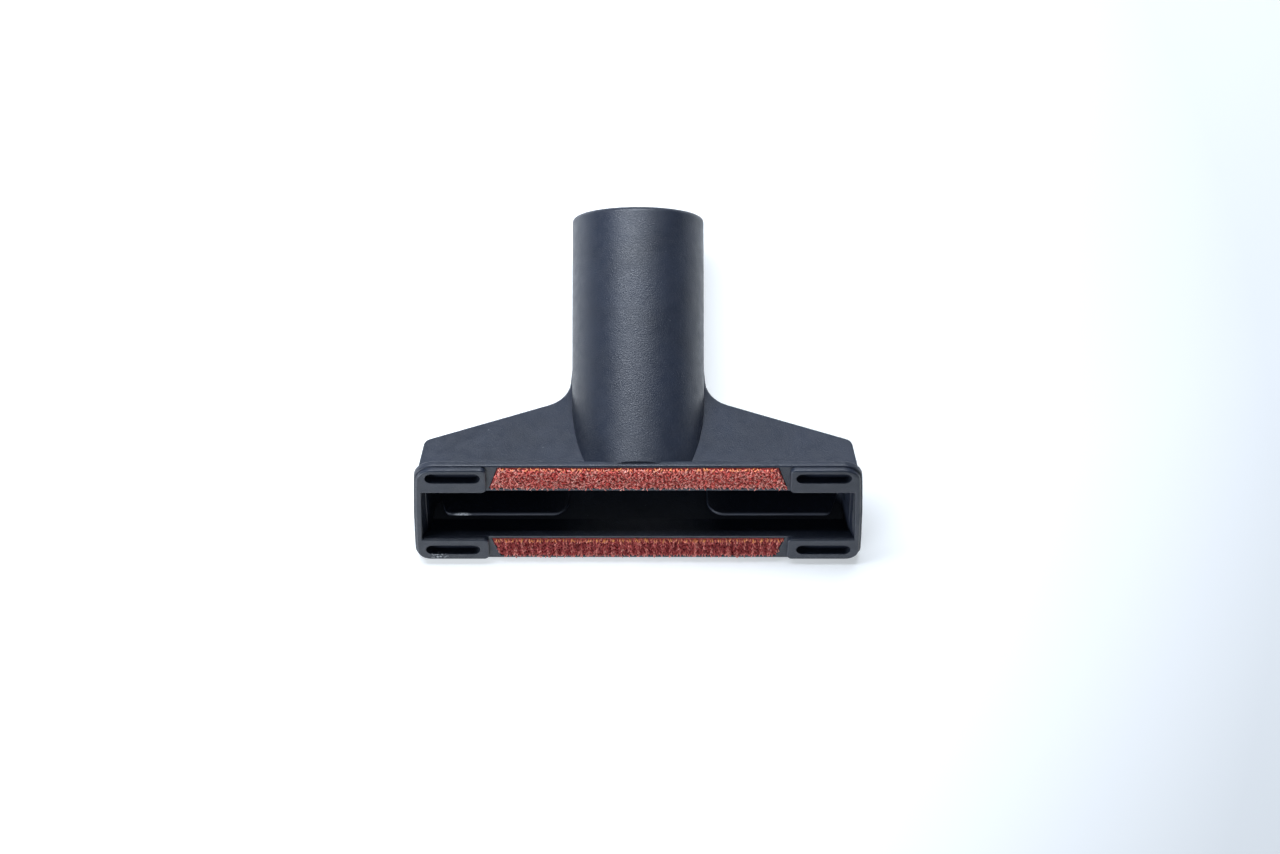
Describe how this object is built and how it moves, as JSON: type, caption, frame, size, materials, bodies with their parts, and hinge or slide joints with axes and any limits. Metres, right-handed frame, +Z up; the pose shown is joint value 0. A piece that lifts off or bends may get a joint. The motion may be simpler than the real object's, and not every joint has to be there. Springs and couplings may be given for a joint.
{
  "type": "vacuum upholstery nozzle",
  "caption": "Hollow suction nozzle with a round connection tube and a wide slanted mouth, whose lips carry lint-lifting pile strips between raised corner pads.",
  "frame": {"origin": "centre of the part's footprint, on the surface that it lies on", "axes": "+X across the mouth, +Y along the connection tube to its open end, +Z up from the surface"},
  "size_m": [0.1314, 0.0988, 0.0386],
  "materials": {
    "charcoal_plastic": "moulded, fine-grained, matte",
    "front_pile": "short brushed pile",
    "back_pile": "short ribbed pile"
  },
  "bodies": {
    "root": {"nozzle_body": "charcoal_plastic", "front_lint_strip": "front_pile", "back_lint_strip": "back_pile"}
  },
  "joints": []
}
